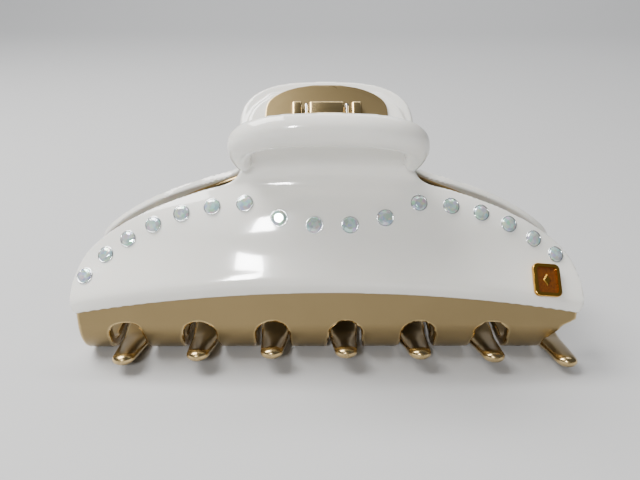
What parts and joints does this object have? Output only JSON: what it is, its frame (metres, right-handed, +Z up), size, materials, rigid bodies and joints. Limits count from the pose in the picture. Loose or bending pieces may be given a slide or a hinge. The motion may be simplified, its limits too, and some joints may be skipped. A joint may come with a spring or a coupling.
{
  "type": "claw clip",
  "caption": "Spring jaw hair clip: two glossy covers over gold toothed jaws on one hinge pin, with a crystal garland.",
  "frame": {"origin": "bottom centre of the closed clip, on the plane its teeth stand on", "axes": "+X along the clip's length, +Y from the front jaw to the rear jaw, +Z up towards the finger tabs"},
  "size_m": [0.11, 0.0406, 0.0567],
  "materials": {
    "cover": "high gloss",
    "gold_frame": "satin metallic gold lacquer",
    "crystal": "white opal, faceted",
    "steel": "bright drawn",
    "badge_gold": "polished gilt",
    "badge_inlay": "amber enamel"
  },
  "bodies": {
    "front_half": {"front_jaw": "gold_frame", "front_cover": "cover", "hinge_pin": "steel", "torsion_spring": "steel", "badge_frame": "badge_gold", "badge_inlay": "badge_inlay", "front_crystal_01": "crystal", "front_crystal_02": "crystal", "front_crystal_03": "crystal", "front_crystal_04": "crystal", "front_crystal_05": "crystal", "front_crystal_06": "crystal", "front_crystal_07": "crystal", "front_crystal_08": "crystal", "front_crystal_09": "crystal", "front_crystal_10": "crystal", "front_crystal_11": "crystal", "front_crystal_12": "crystal", "front_crystal_13": "crystal", "front_crystal_14": "crystal", "front_crystal_15": "crystal", "front_crystal_16": "crystal", "front_crystal_17": "crystal"},
    "rear_half": {"rear_jaw": "gold_frame", "rear_cover": "cover", "rear_crystal_01": "crystal", "rear_crystal_02": "crystal", "rear_crystal_03": "crystal", "rear_crystal_04": "crystal", "rear_crystal_05": "crystal", "rear_crystal_06": "crystal", "rear_crystal_07": "crystal", "rear_crystal_08": "crystal", "rear_crystal_09": "crystal", "rear_crystal_10": "crystal", "rear_crystal_11": "crystal", "rear_crystal_12": "crystal", "rear_crystal_13": "crystal", "rear_crystal_14": "crystal", "rear_crystal_15": "crystal", "rear_crystal_16": "crystal", "rear_crystal_17": "crystal"}
  },
  "joints": [
    {"name": "jaw_hinge", "type": "hinge", "parent": "front_half", "child": "rear_half", "pos_m": [0, 0, 0.043], "axis": [1, 0, 0], "range_deg": [0, 44], "stiffness_Nm_per_rad": 0.15, "springref_deg": -17.19, "deforming": ["torsion_spring"]}
  ]
}
